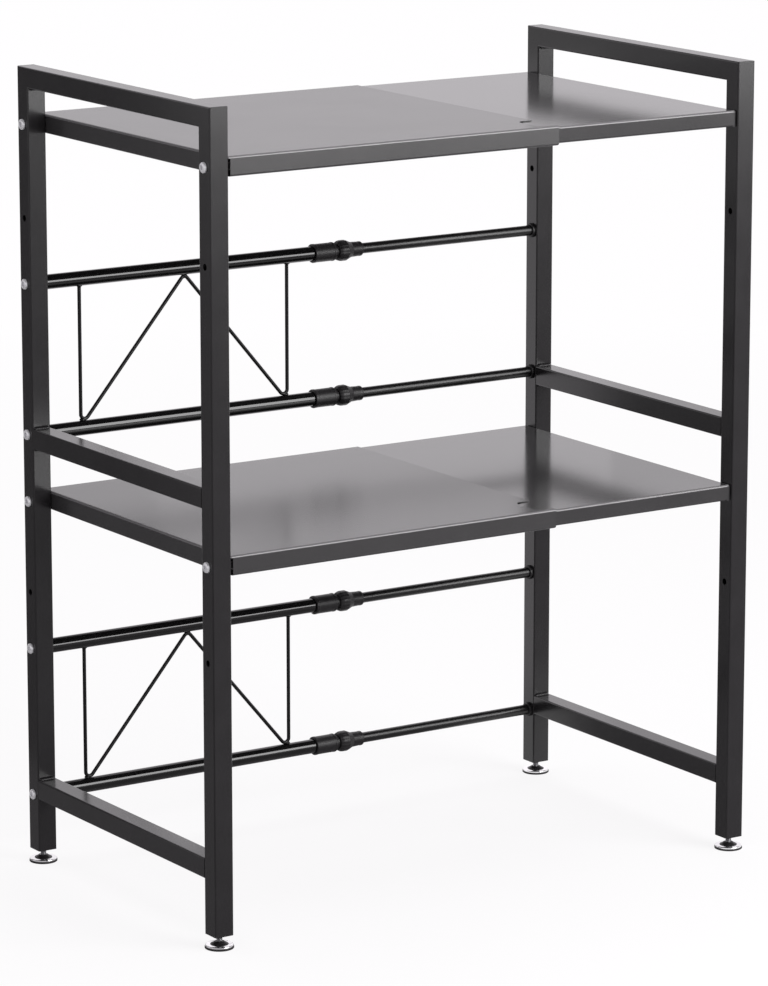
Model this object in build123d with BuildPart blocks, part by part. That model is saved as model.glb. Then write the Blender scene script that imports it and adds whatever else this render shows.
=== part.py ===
"""A free-standing two-board shelf for a microwave oven, which pulls out to the width of its place.

Two welded end frames of square steel tube carry two boards, each made of two folded trays that
slide into one another, and four round back bars, each a rod sliding in a tube under a twist-lock
collar. Units are millimetres. X runs from left to right, Y from front to back and Z upwards. The
origin is on the floor, in the middle of the width and depth.
"""

import os
from math import asin, atan2, cos, hypot, sin, tan

from build123d import *

os.makedirs("parts", exist_ok=True)

# End frames
shelf_width = 622.0  # over the end frames' outer faces, pulled out as photographed
shelf_depth = 360.0
frame_height = 787.0  # from the uprights' open ends to the top rails
foot_height = 13.0  # from the floor to the uprights' open ends
tube_size = 20.0
tube_wall = 1.0
tube_radius = 1.5
corner_radius = 1.5  # ground round where the mitred corners are welded
guard_rail_rise = 54.0  # from the lower board's bolts to the guard rail's underside
bottom_rail_height = 54.0  # from the uprights' open ends to the rail's underside

# Boards
upper_board_drop = 56.0  # from the frame's top to the upper board's bolts
board_pitch = 374.0  # from the lower board to the upper one
spare_hole_drop = 92.0  # from a board's bolts down to its spare holes
tray_setback = 2.0  # from the uprights' front faces to the front flange
tray_height = 19.0
tray_sheet = 0.8
tray_bend_radius = 2.0
tray_lip = 8.0
left_tray_length = 370.0
right_tray_length = 364.0
tray_corner_relief = 3.3
flange_corner_radius = 2.0
tray_notch_depth = 19.0  # into the outer tray's free front corner
tray_notch_width = 40.0
tray_notch_radius = 10.0
tray_notch_margin = 4.0  # from the long flange's bend to the notch
tray_slide_gap = 0.3  # between the sliding trays' sheets
tray_lip_gap = 1.0  # from the inner tray down to the outer tray's lips

# Back bars
bottom_bar_height = 57.5  # from the uprights' open ends to the bar's axis
second_bar_rise = 67.0  # from the lower board's bolts to the bar's axis
bar_pair_pitch = 150.0  # between the two bars that carry a wire guard
outer_tube_diameter = 14.8
outer_tube_wall = 0.8
outer_tube_length = 332.0
inner_rod_diameter = 10.8
inner_rod_wall = 0.8
inner_rod_length = 359.0
insert_length = 15.0
insert_gap = 0.05  # round an insert or a rod in its end ring
end_ring_diameter = 14.8
end_ring_length = 3.0

# Twist-lock collars
collar_diameter = 19.3
collar_length = 25.5
collar_socket_depth = 21.5  # how far the outer tube goes into the collar
collar_socket_gap = 0.05
collar_edge = 0.6
spigot_diameter = 14.0
spigot_length = 15.0
rod_gap = 0.3  # round the sliding rod in the collar
thread_gap = 0.08  # between the collar's spigot and its nut
nut_end_gap = 3.6  # the open groove between the collar and its nut
nut_diameter = 21.4
nut_grip_length = 10.8
nut_cone_length = 6.0
nut_length = 29.2
nut_nose_diameter = 15.6
nut_tip_diameter = 15.0
nut_edge = 0.6
nut_mouth_wall = 2.5
flute_count = 12
flute_diameter = 2.4
flute_depth = 0.5
collet_length = 14.3
collet_base = 4.5  # the ring that the slit leaves whole
collet_diameter = 13.2
collet_tip_diameter = 12.4
collet_gap = 0.3  # between the collet and the nut that turns round it
collet_slit = 1.2
collet_fit = 0.05  # between the collet and the rod that slides in it

# Zigzag wire guards
wire_diameter = 3.7
wire_bend_radius = 6.0  # to the wire's middle
wire_inset = 40.0  # from the upright to the first wire's middle
wire_guard_width = 240.5

# Levelling feet
plug_height = 16.0
plug_gap = 0.1
stud_diameter = 6.0
stud_length = 32.0
stud_seat = 2.6  # from the floor to the stud's lower end
stud_fit = 0.05
stud_edge = 0.7
pad_diameter = 28.0
pad_rim_height = 2.4
pad_shoulder_diameter = 11.0
pad_shoulder_height = 4.6
pad_hub_diameter = 9.0
pad_height = 6.6
pad_edge = 0.7

# Bolts and nuts
bolt_diameter = 6.0
bolt_length = 30.0
bolt_taper_length = 0.9
bolt_hole_diameter = 6.4
head_diameter = 10.4
head_height = 3.0
head_rim = 0.9
head_flat_diameter = 5.0
socket_size = 4.0  # across flats
socket_depth = 1.9
hex_nut_size = 10.0  # across flats
hex_nut_height = 5.0
bolt_thread_gap = 0.05

# Places that follow from the sizes
left, right = -1, 1
front, rear = -1, 1
outer_face = shelf_width / 2
inner_face = outer_face - tube_size
upright_x = outer_face - tube_size / 2
upright_y = shelf_depth / 2 - tube_size / 2
frame_top = foot_height + frame_height
upper_bolt_height = frame_top - upper_board_drop
lower_bolt_height = upper_bolt_height - board_pitch
board_bolts = [lower_bolt_height, upper_bolt_height]
spare_holes = [height - spare_hole_drop for height in board_bolts]
bars = {
    "bottom_bar": foot_height + bottom_bar_height,
    "third_bar": foot_height + bottom_bar_height + bar_pair_pitch,
    "second_bar": lower_bolt_height + second_bar_rise,
    "top_bar": lower_bolt_height + second_bar_rise + bar_pair_pitch,
}
rail_undersides = {
    "guard_rail": lower_bolt_height + guard_rail_rise,
    "bottom_rail": foot_height + bottom_rail_height,
}
side_names = {left: "left", right: "right"}
end_names = {front: "front", rear: "rear"}
tube_end = outer_tube_length - inner_face
collar_start = tube_end - collar_socket_depth
spigot_start = collar_start + collar_length
nut_start = spigot_start + nut_end_gap
nut_cavity_start = spigot_start + spigot_length


def save(piece, label):
    """Labels a finished piece and writes it to its own file."""
    piece.part.label = label
    export_step(piece.part, f"parts/{label}.step")


def wall_plane(x, way=right):
    """The plane square to the X axis at x, facing left or right, with its own Y axis upwards."""
    return Plane(origin=(x, 0, 0), x_dir=(0, way, 0), z_dir=(way, 0, 0))


def bar_plane(height, x=0.0):
    """The upright plane along a back bar: its own X axis runs along the bar and its Y axis up."""
    return Plane(origin=(x, upright_y, height), x_dir=(1, 0, 0), z_dir=(0, -1, 0))


def bar_axis(height):
    """The middle line of a back bar."""
    return Axis((0, upright_y, height), (1, 0, 0))


# End frames of square tube
def tube_section():
    """Draws the tube's section in the sketch that is open."""
    bore = tube_size - 2 * tube_wall
    RectangleRounded(tube_size, tube_size, tube_radius)
    RectangleRounded(bore, bore, tube_radius - tube_wall, mode=Mode.SUBTRACT)


def mitre_plane(end):
    """The slanted plane through a top corner, where an upright meets the top rail."""
    return Plane(origin=(0, end * shelf_depth / 2, frame_top), z_dir=(0, -end, 1))


with BuildPart() as frame_outline:
    with BuildSketch(wall_plane(-outer_face)):
        with Locations((0, foot_height + frame_height / 2)):
            RectangleRounded(shelf_depth, frame_height, corner_radius)
        with Locations((0, foot_height + corner_radius)):
            Rectangle(shelf_depth, 2 * corner_radius)
    extrude(amount=shelf_width)

for side in (left, right):
    for end in (front, rear):
        with BuildPart() as upright:
            with BuildSketch(Plane.XY.offset(foot_height)):
                with Locations((side * upright_x, end * upright_y)):
                    tube_section()
            extrude(amount=frame_height)
            split(bisect_by=mitre_plane(end), keep=Keep.BOTTOM)
            add(frame_outline.part, mode=Mode.INTERSECT)
            bolt_heights = board_bolts + spare_holes + (list(bars.values()) if end == rear else [])
            with BuildSketch(wall_plane(side * upright_x)):
                with Locations(*[(end * upright_y, height) for height in bolt_heights]):
                    Circle(bolt_hole_diameter / 2)
            extrude(amount=tube_size, both=True, mode=Mode.SUBTRACT)
        save(upright, f"{side_names[side]}_{end_names[end]}_upright")

    with BuildPart() as top_rail:
        with BuildSketch(Plane.XZ):
            with Locations((side * upright_x, frame_top - tube_size / 2)):
                tube_section()
        extrude(amount=shelf_depth / 2, both=True)
        split(bisect_by=mitre_plane(front), keep=Keep.TOP)
        split(bisect_by=mitre_plane(rear), keep=Keep.TOP)
        add(frame_outline.part, mode=Mode.INTERSECT)
    save(top_rail, f"{side_names[side]}_top_rail")

    for rail_name, underside in rail_undersides.items():
        with BuildPart() as rail:
            with BuildSketch(Plane.XZ):
                with Locations((side * upright_x, underside + tube_size / 2)):
                    tube_section()
            extrude(amount=shelf_depth / 2 - tube_size, both=True)
        save(rail, f"{side_names[side]}_{rail_name}")


# Folded trays
def make_tray(label, side, length, width, top, height, bolt_height):
    """Makes and writes one tray: a board with flanges folded down on three sides, and lips under
    the long ones. The fourth side is open, and slides into or over the other tray of the pair."""
    way = -side
    outer_x = side * inner_face
    middle = top - height / 2
    bottom = top - height
    with BuildPart() as hollow:
        with BuildSketch(wall_plane(outer_x + way * tray_sheet, way)):
            with Locations((0, middle)):
                RectangleRounded(
                    width - 2 * tray_sheet, height - 2 * tray_sheet, tray_bend_radius - tray_sheet
                )
        extrude(amount=length)
        outer_end = hollow.faces().sort_by(Axis.X)[0 if side == left else -1]
        fillet(outer_end.edges().sort_by(Axis.Z)[-1], tray_bend_radius - tray_sheet)
    with BuildPart() as tray:
        with BuildSketch(wall_plane(outer_x, way)):
            with Locations((0, middle)):
                RectangleRounded(width, height, tray_bend_radius)
        extrude(amount=length)
        outer_end = tray.faces().sort_by(Axis.X)[0 if side == left else -1]
        fillet(outer_end.edges().sort_by(Axis.Z)[-1], tray_bend_radius)
        add(hollow.part, mode=Mode.SUBTRACT)
        # The underside is open between the lips
        with BuildSketch(Plane.XY.offset(bottom)):
            with Locations((outer_x + way * (tray_sheet + length / 2), 0)):
                Rectangle(length, width - 2 * tray_lip)
        extrude(amount=tray_sheet + tray_bend_radius, mode=Mode.SUBTRACT)
        # The folded corners beside the uprights are cut away under the board
        with BuildSketch(Plane.XY.offset(bottom)):
            with Locations(*[(outer_x, end * width / 2) for end in (front, rear)]):
                Rectangle(2 * tray_corner_relief, 2 * tray_corner_relief)
        extrude(amount=height - tray_bend_radius, mode=Mode.SUBTRACT)
        # The long flanges end in a round corner
        with BuildSketch(Plane.XZ):
            with Locations((outer_x + way * length, bottom)):
                Rectangle(2 * flange_corner_radius, 2 * flange_corner_radius)
            with Locations((outer_x + way * (length - flange_corner_radius), bottom + flange_corner_radius)):
                Circle(flange_corner_radius, mode=Mode.SUBTRACT)
        extrude(amount=width, both=True, mode=Mode.SUBTRACT)
        with BuildSketch(wall_plane(outer_x)):
            with Locations(*[(end * upright_y, bolt_height) for end in (front, rear)]):
                Circle(bolt_hole_diameter / 2)
        extrude(amount=tray_sheet + tray_bend_radius, both=True, mode=Mode.SUBTRACT)
        # The outer tray's free front corner is notched
        if side == left:
            notch_y = width / 2 - tray_bend_radius - tray_notch_margin - tray_notch_width / 2
            with BuildSketch(Plane.XY.offset(top)):
                with Locations((outer_x + way * length, front * notch_y)):
                    RectangleRounded(2 * tray_notch_depth, tray_notch_width, tray_notch_radius)
            extrude(amount=-tray_sheet - tray_bend_radius, mode=Mode.SUBTRACT)
    save(tray, label)


outer_tray_width = shelf_depth - 2 * tray_setback
tray_step = tray_sheet + tray_slide_gap
for board, bolt_height in zip(("lower", "upper"), board_bolts):
    board_top = bolt_height + tray_height / 2
    make_tray(
        f"{board}_left_tray", left, left_tray_length, outer_tray_width, board_top, tray_height, bolt_height
    )
    make_tray(
        f"{board}_right_tray",
        right,
        right_tray_length,
        outer_tray_width - 2 * tray_step,
        board_top - tray_step,
        tray_height - tray_step - tray_sheet - tray_lip_gap,
        bolt_height,
    )


# Back bars with their inserts, end rings and twist-lock collars
def make_turned(label, height, profile):
    """Makes and writes a ring turned about a back bar, from its outline as pairs of a distance
    along X and a radius."""
    with BuildPart() as turned:
        with BuildSketch(bar_plane(height)):
            with BuildLine():
                Polyline(*profile, close=True)
            make_face()
        revolve(axis=bar_axis(height))
    save(turned, label)


def make_pipe(label, height, start, length, diameter, wall):
    """Makes and writes a straight pipe along a back bar."""
    with BuildPart() as pipe:
        with BuildSketch(wall_plane(start)):
            with Locations((upright_y, height)):
                Circle(diameter / 2)
                Circle(diameter / 2 - wall, mode=Mode.SUBTRACT)
        extrude(amount=length)
    save(pipe, label)


def make_rings(label, start, length, diameter, bore):
    """Makes and writes a group of equal rings, one on each back bar."""
    with BuildPart() as rings:
        with BuildSketch(wall_plane(start)):
            with Locations(*[(upright_y, height) for height in bars.values()]):
                Circle(diameter / 2)
                Circle(bore / 2, mode=Mode.SUBTRACT)
        extrude(amount=length)
    save(rings, label)


tapped_bore = bolt_diameter + 2 * bolt_thread_gap
tube_bore = outer_tube_diameter - 2 * outer_tube_wall
rod_bore = inner_rod_diameter - 2 * inner_rod_wall
make_rings("outer_tube_inserts", -inner_face, insert_length, tube_bore - 2 * insert_gap, tapped_bore)
make_rings(
    "inner_rod_inserts", inner_face - insert_length, insert_length, rod_bore - 2 * insert_gap, tapped_bore
)
make_rings(
    "rod_end_rings",
    inner_face - end_ring_length,
    end_ring_length,
    end_ring_diameter,
    inner_rod_diameter + 2 * insert_gap,
)

rod_passage = inner_rod_diameter / 2 + rod_gap
socket_radius = outer_tube_diameter / 2 + collar_socket_gap
thread_radius = spigot_diameter / 2 + thread_gap
nut_end = nut_start + nut_length
grip_end = nut_start + nut_grip_length
cone_end = grip_end + nut_cone_length
mouth_start = nut_end - nut_mouth_wall
collet_start = nut_cavity_start
collet_end = collet_start + collet_length
cavity_radius = collet_diameter / 2 + collet_gap
cavity_tip_radius = collet_tip_diameter / 2 + collet_gap

for bar, height in bars.items():
    make_pipe(
        f"{bar}_outer_tube", height, -inner_face, outer_tube_length, outer_tube_diameter, outer_tube_wall
    )
    make_pipe(
        f"{bar}_inner_rod",
        height,
        inner_face - inner_rod_length,
        inner_rod_length,
        inner_rod_diameter,
        inner_rod_wall,
    )
    make_turned(
        f"{bar}_collar",
        height,
        [
            (collar_start, socket_radius),
            (collar_start, collar_diameter / 2 - collar_edge),
            (collar_start + collar_edge, collar_diameter / 2),
            (spigot_start - collar_edge, collar_diameter / 2),
            (spigot_start, collar_diameter / 2 - collar_edge),
            (spigot_start, spigot_diameter / 2),
            (nut_cavity_start, spigot_diameter / 2),
            (nut_cavity_start, rod_passage),
            (tube_end, rod_passage),
            (tube_end, socket_radius),
        ],
    )

    with BuildPart() as collar_nut:
        with BuildSketch(bar_plane(height)):
            with BuildLine():
                Polyline(
                    (nut_start, thread_radius),
                    (nut_start, nut_diameter / 2 - nut_edge),
                    (nut_start + nut_edge, nut_diameter / 2),
                    (grip_end, nut_diameter / 2),
                    (cone_end, nut_nose_diameter / 2),
                    (nut_end - nut_edge, nut_tip_diameter / 2),
                    (nut_end, nut_tip_diameter / 2 - nut_edge),
                    (nut_end, rod_passage),
                    (mouth_start, rod_passage),
                    (mouth_start, cavity_tip_radius),
                    (nut_cavity_start + collet_gap, cavity_radius),
                    (nut_cavity_start + collet_gap, thread_radius),
                    close=True,
                )
            make_face()
        revolve(axis=bar_axis(height))
        flute_centre = nut_diameter / 2 - flute_depth + flute_diameter / 2
        flute_plane = Plane(origin=(nut_start, upright_y, height), x_dir=(0, 1, 0), z_dir=(1, 0, 0))
        with BuildSketch(flute_plane):
            with PolarLocations(flute_centre, flute_count):
                Circle(flute_diameter / 2)
        extrude(amount=nut_grip_length + nut_cone_length, mode=Mode.SUBTRACT)
    save(collar_nut, f"{bar}_nut")

    with BuildPart() as collet:
        with BuildSketch(bar_plane(height)):
            with BuildLine():
                Polyline(
                    (collet_start, inner_rod_diameter / 2 + collet_fit),
                    (collet_start, collet_diameter / 2),
                    (collet_end, collet_tip_diameter / 2),
                    (collet_end, inner_rod_diameter / 2 + collet_fit),
                    close=True,
                )
            make_face()
        revolve(axis=bar_axis(height))
        with BuildSketch(wall_plane(collet_start + collet_base)):
            with Locations((upright_y, height + collet_diameter / 2)):
                Rectangle(collet_slit, collet_diameter)
        extrude(amount=collet_length, mode=Mode.SUBTRACT)
    save(collet, f"{bar}_collet")


# Zigzag wire guards, each one bent wire welded between the two bars of a pair
wire_radius = wire_diameter / 2
wire_left = -inner_face + wire_inset
wire_right = wire_left + wire_guard_width
wire_peak = (wire_left + wire_right) / 2
bar_pairs = {"lower_wire_guard": ("bottom_bar", "third_bar"), "upper_wire_guard": ("second_bar", "top_bar")}

for guard_name, (low_bar, high_bar) in bar_pairs.items():
    low = bars[low_bar] + outer_tube_diameter / 2 + wire_radius
    high = bars[high_bar] - outer_tube_diameter / 2 - wire_radius
    # The slanted run touches the bend below it on one side and the bend above it on the other
    run_x = wire_peak - wire_left - wire_bend_radius
    run_z = high - low - 2 * wire_bend_radius
    slope = atan2(run_z, run_x) + asin(2 * wire_bend_radius / hypot(run_x, run_z))
    touch_x = wire_left + wire_bend_radius * (1 + sin(slope))
    touch_z = low + wire_bend_radius * (1 - cos(slope))
    low_corner = touch_z - (touch_x - wire_left) * tan(slope)
    high_corner = touch_z + (wire_peak - touch_x) * tan(slope)
    with BuildPart() as wire_guard:
        with BuildLine(bar_plane(0)) as route:
            FilletPolyline(
                (wire_left, bars[high_bar]),
                (wire_left, low_corner),
                (wire_peak, high_corner),
                (wire_right, low_corner),
                (wire_right, bars[high_bar]),
                radius=wire_bend_radius,
            )
        with BuildSketch(Plane(origin=route.line @ 0, z_dir=route.line % 0)):
            Circle(wire_radius)
        sweep()
        with BuildSketch(wall_plane(wire_left - wire_diameter)):
            with Locations((upright_y, bars[high_bar])):
                Circle(outer_tube_diameter / 2)
        extrude(amount=wire_guard_width + 2 * wire_diameter, mode=Mode.SUBTRACT)
    save(wire_guard, guard_name)


# Levelling feet: a plug in the upright, a threaded stud and a round pad
for side in (left, right):
    for end in (front, rear):
        foot = f"{side_names[side]}_{end_names[end]}_foot"
        centre = (side * upright_x, end * upright_y)
        plug_size = tube_size - 2 * tube_wall - 2 * plug_gap
        with BuildPart() as foot_plug:
            with BuildSketch(Plane.XY.offset(foot_height)):
                with Locations(centre):
                    RectangleRounded(plug_size, plug_size, tube_radius - tube_wall)
                    Circle(stud_diameter / 2 + stud_fit, mode=Mode.SUBTRACT)
            extrude(amount=plug_height)
        save(foot_plug, f"{foot}_plug")

        with BuildPart() as stud:
            with BuildSketch(Plane.XY.offset(stud_seat)):
                with Locations(centre):
                    Circle(stud_diameter / 2)
            extrude(amount=stud_length)
            chamfer(stud.faces().sort_by(Axis.Z)[-1].edges(), stud_edge)
        save(stud, f"{foot}_stud")

        with BuildPart() as pad:
            with BuildSketch(Plane(origin=(*centre, 0), x_dir=(1, 0, 0), z_dir=(0, -1, 0))):
                with BuildLine():
                    Polyline(
                        (0, 0),
                        (pad_diameter / 2 - pad_edge, 0),
                        (pad_diameter / 2, pad_edge),
                        (pad_diameter / 2, pad_rim_height),
                        (pad_shoulder_diameter / 2, pad_shoulder_height),
                        (pad_hub_diameter / 2, pad_height),
                        (0, pad_height),
                        close=True,
                    )
                make_face()
            revolve(axis=Axis((*centre, 0), (0, 0, 1)))
            with BuildSketch(Plane.XY.offset(stud_seat)):
                with Locations(centre):
                    Circle(stud_diameter / 2 + stud_fit)
            extrude(amount=pad_height, mode=Mode.SUBTRACT)
        save(pad, f"{foot}_pad")


# Button-head bolts with hexagon sockets, and the hexagon nuts behind the trays' end flanges
with BuildPart() as bolt:
    with BuildSketch(Plane.XZ):
        with BuildLine():
            seat = Polyline(
                (0, head_height),
                (0, -bolt_length),
                (bolt_diameter / 2 - bolt_thread_gap, -bolt_length),
                (bolt_diameter / 2, -bolt_length + bolt_taper_length),
                (bolt_diameter / 2, 0),
                (head_diameter / 2, 0),
                (head_diameter / 2, head_rim),
            )
            dome = RadiusArc(seat @ 1, (head_flat_diameter / 2, head_height), -head_diameter / 2)
            Line(dome @ 1, seat @ 0)
        make_face()
    revolve(axis=Axis.Z)
    with BuildSketch(Plane.XY.offset(head_height)):
        RegularPolygon(socket_size / 2, 6, major_radius=False)
    extrude(amount=-socket_depth, mode=Mode.SUBTRACT)

with BuildPart() as hex_nut:
    with BuildSketch(Plane.XY):
        RegularPolygon(hex_nut_size / 2, 6, major_radius=False)
        Circle(tapped_bore / 2, mode=Mode.SUBTRACT)
    extrude(amount=hex_nut_height)

for side in (left, right):
    outward = wall_plane(side * outer_face, side)
    tray_bolt_places = [(side * end * upright_y, height) for end in (front, rear) for height in board_bolts]
    rod_bolt_places = [(side * upright_y, height) for height in bars.values()]
    for label, places in {"tray_bolts": tray_bolt_places, "bar_bolts": rod_bolt_places}.items():
        with BuildPart() as bolts:
            with Locations(*[outward.location * Location((across, up, 0)) for across, up in places]):
                add(bolt.part)
        save(bolts, f"{side_names[side]}_{label}")

    inward = wall_plane(side * (inner_face - tray_sheet), -side)
    with BuildPart() as nuts:
        nut_places = [(-across, up) for across, up in tray_bolt_places]
        with Locations(*[inward.location * Location((across, up, 0)) for across, up in nut_places]):
            add(hex_nut.part)
    save(nuts, f"{side_names[side]}_tray_nuts")
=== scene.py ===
"""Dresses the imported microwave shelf: finishes, threads, welds, turned surfaces, and a studio.

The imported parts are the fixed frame, and every place here is read from their boxes. Lengths are
metres. X runs from left to right, Y from front to back and Z upwards from the floor.
"""

import logging
import math
from dataclasses import dataclass, replace
from enum import Enum
from functools import cached_property
from typing import Callable

import bmesh
import bpy
import numpy as np
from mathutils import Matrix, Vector
from numpy.typing import ArrayLike


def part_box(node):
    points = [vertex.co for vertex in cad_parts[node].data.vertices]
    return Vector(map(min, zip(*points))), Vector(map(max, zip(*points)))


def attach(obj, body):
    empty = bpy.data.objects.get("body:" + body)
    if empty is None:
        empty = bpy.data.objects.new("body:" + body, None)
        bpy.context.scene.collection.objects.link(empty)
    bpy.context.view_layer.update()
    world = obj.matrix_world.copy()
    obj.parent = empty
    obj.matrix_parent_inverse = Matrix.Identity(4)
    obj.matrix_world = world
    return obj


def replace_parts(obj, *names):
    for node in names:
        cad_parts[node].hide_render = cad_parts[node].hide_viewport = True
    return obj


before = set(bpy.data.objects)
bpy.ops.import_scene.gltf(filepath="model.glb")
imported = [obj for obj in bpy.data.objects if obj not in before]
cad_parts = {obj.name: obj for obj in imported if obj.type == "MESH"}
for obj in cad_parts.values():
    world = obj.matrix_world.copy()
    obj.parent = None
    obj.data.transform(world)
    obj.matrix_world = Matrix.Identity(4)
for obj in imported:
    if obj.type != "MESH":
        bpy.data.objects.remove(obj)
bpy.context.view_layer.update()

log = logging.getLogger("microwave_shelf")
Array = np.ndarray
Reshape = Callable[[Array, Array, Array], Array]
Colour = tuple[float, float, float]

PHOTO_HEIGHT = 986  # pixels
SHARP_ANGLE = math.radians(33)
MERGE_DISTANCE = 1e-7
EMBED = 0.0002  # how far a weld or a wire's end reaches into the steel that it is welded to
HOLD = 0.0003  # from a rounding to the point that keeps the shading beside it straight
CORNER_ROOM = 0.49  # the share of a side that the rounding of one corner may take
STRAIGHT = 0.999999  # the cosine from which a corner's two sides count as one line
AXES = np.eye(3)
X_AXIS, Y_AXIS, Z_AXIS = AXES
BAR_NAMES = ("bottom_bar", "third_bar", "second_bar", "top_bar")
BOARD_NAMES = ("lower", "upper")
BLACK, SOFT_BLACK = (0.008, 0.0073, 0.008), (0.014, 0.0128, 0.014)
DEEP_BLACK, GLOSS_BLACK = (0.003, 0.0028, 0.003), (0.005, 0.0047, 0.005)
# FOLD_HIGHLIGHT_GREY is a painted highlight: a light line along the trays' folds where the bends
# catch light
# the trays' greys are partly the coat's own dark grey and partly painted sheen, lighter than the
# frame's black
TRAY_GREY_AND_SHEEN, LIGHT_TRAY_GREY_AND_SHEEN, FOLD_HIGHLIGHT_GREY = (0.025, 0.024, 0.025), (0.036, 0.0345, 0.036), (0.14, 0.135, 0.14)


class Side(Enum):
    """The two end frames."""

    LEFT = "left"
    RIGHT = "right"

    @property
    def sign(self) -> float:
        """The side's direction along X."""
        return -1.0 if self is Side.LEFT else 1.0

    @property
    def body(self) -> str:
        """The body that the side's welded frame belongs to."""
        return f"{self.value}_end"


class End(Enum):
    """The front and rear uprights of an end frame."""

    FRONT = "front"
    REAR = "rear"

    @property
    def sign(self) -> float:
        """The end's direction along Y."""
        return -1.0 if self is End.FRONT else 1.0


class Slot(Enum):
    """The record's material slots."""

    FRAME = "black_frame"
    BOARD = "black_board"
    BAR = "black_bar"
    WIRE = "black_wire"
    PLASTIC = "black_plastic"
    BOLT = "bright_bolt"
    PAD = "chrome_pad"


def unit(vectors: Array) -> Array:
    """Returns the vectors scaled to length 1 along their last axis."""
    return vectors / np.linalg.norm(vectors, axis=-1, keepdims=True)


def node_box(node: str) -> tuple[Array, Array]:
    """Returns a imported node's lowest and highest corners as arrays."""
    low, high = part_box(node)
    return np.array(low), np.array(high)


def centre(node: str) -> Array:
    """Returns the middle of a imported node's box."""
    return sum(node_box(node)) / 2


def rounded(corners: ArrayLike, radius: ArrayLike, steps: int, closed: bool) -> Array:
    """Rounds the corners of an outline or a route.

    Each corner becomes an arc that touches both of its sides. Its middle lies on the corner's
    bisector, at the radius over the sine of half the corner's angle, and its points turn evenly
    from one touching point to the other.

    Args:
        corners: The outline's corners, one a row, in two or three dimensions.
        radius: One radius for all corners, or one for each.
        steps: The number of steps along each arc.
        closed: Whether the last corner joins the first. If not, both ends stay as they are.

    Returns:
        The rounded outline's points, one a row.
    """
    corners = np.asarray(corners, float)
    before = np.roll(corners, 1, axis=0) - corners
    after = np.roll(corners, -1, axis=0) - corners
    room = CORNER_ROOM * np.minimum(np.linalg.norm(before, axis=1), np.linalg.norm(after, axis=1))
    before, after = unit(before), unit(after)
    half = np.arccos(np.clip((before * after).sum(axis=1), -STRAIGHT, STRAIGHT)) / 2
    reach = np.minimum(np.asarray(radius) / np.tan(half), room)
    true_radius = reach * np.tan(half)
    middle = corners + unit(before + after) * (true_radius / np.sin(half))[:, None]
    first = (corners + before * reach[:, None] - middle)[:, None, :]
    last = (corners + after * reach[:, None] - middle)[:, None, :]
    turn = (math.pi - 2 * half)[:, None, None]
    share = np.linspace(0, 1, steps + 1)[None, :, None]
    arcs = (np.sin((1 - share) * turn) * first + np.sin(share * turn) * last) / np.sin(turn)
    arcs = arcs + middle[:, None, :]
    if closed:
        return arcs.reshape(-1, corners.shape[1])
    inner = arcs[1:-1].reshape(-1, corners.shape[1])
    return np.concatenate([corners[:1], inner, corners[-1:]])


def held(corners: ArrayLike, radius: ArrayLike, steps: int) -> Array:
    """Rounds a closed outline, and adds a point near both ends of each long side, at the hold
    distance from the rounding, so that the rounding doesn't bend the side's shading.

    Args:
        corners: The outline's corners, one a row.
        radius: One radius for all corners, or one for each.
        steps: The number of steps along each arc.

    Returns:
        The outline's points, one a row.
    """
    outline = rounded(corners, radius, steps, closed=True)
    after = np.roll(outline, -1, axis=0)
    length = np.linalg.norm(after - outline, axis=1)
    step = (after - outline) * (HOLD / np.maximum(length, HOLD))[:, None]
    long = length > 4 * HOLD
    points = np.stack([outline, outline + step, after - step], axis=1)
    return points[np.stack([np.full(len(outline), True), long, long], axis=1)]


def hexagon(angle: Array) -> Array:
    """Returns a hexagon's radius over its apothem, one over the cosine from a side's middle."""
    return 1 / np.cos(np.mod(angle, math.pi / 3) - math.pi / 6)


@dataclass(frozen=True)
class Line:
    """A piece's own axis: where it starts, its direction, and the direction of angle zero."""

    start: Array
    along: Array
    zero: Array

    def place(self, along: Array, radius: Array, angle: Array) -> Array:
        """Works out points from where they lie along and round the line.

        Args:
            along: The distances along the line.
            radius: The distances from it.
            angle: The angles round it.

        Returns:
            The points.
        """
        quarter = np.cross(self.along, self.zero)
        across, up = radius * np.cos(angle), radius * np.sin(angle)
        return (
            self.start
            + along[..., None] * self.along
            + across[..., None] * self.zero
            + up[..., None] * quarter
        )


@dataclass(frozen=True)
class Round:
    """The line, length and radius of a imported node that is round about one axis."""

    line: Line
    length: float
    radius: float

    @classmethod
    def measure(cls, node: str, axis: int) -> "Round":
        """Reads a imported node's box.

        Args:
            node: The node's name.
            axis: 0 if it is round about X, 2 if it is round about Z.

        Returns:
            The node's line, length and radius.
        """
        low, high = node_box(node)
        across = 2 - axis
        start = np.where(np.arange(3) == axis, low, (low + high) / 2)
        line = Line(start, AXES[axis], AXES[across])
        return cls(line, high[axis] - low[axis], (high[across] - low[across]) / 2)


def turned(outline: Array, line: Line, segments: int, reshape: Reshape | None = None) -> Array:
    """Turns an outline about a line.

    A point at distance a along the line and radius r goes to the line's start, plus a along it,
    plus r times the cosine and the sine of the angle across it.

    Args:
        outline: Rows of a distance along the line and a radius.
        line: The line to turn about.
        segments: The number of points in a full turn.
        reshape: Gives a new radius from the distance, the angle and the old radius.

    Returns:
        A grid of points, one outline point a row and one angle a column.
    """
    angle = np.linspace(0, 2 * math.pi, segments, endpoint=False)[None, :]
    angle = np.repeat(angle, len(outline), axis=0)
    along = np.repeat(outline[:, :1], segments, axis=1)
    radius = np.repeat(outline[:, 1:], segments, axis=1)
    if reshape is not None:
        radius = reshape(along, angle, radius)
    return line.place(along, radius, angle)


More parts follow.
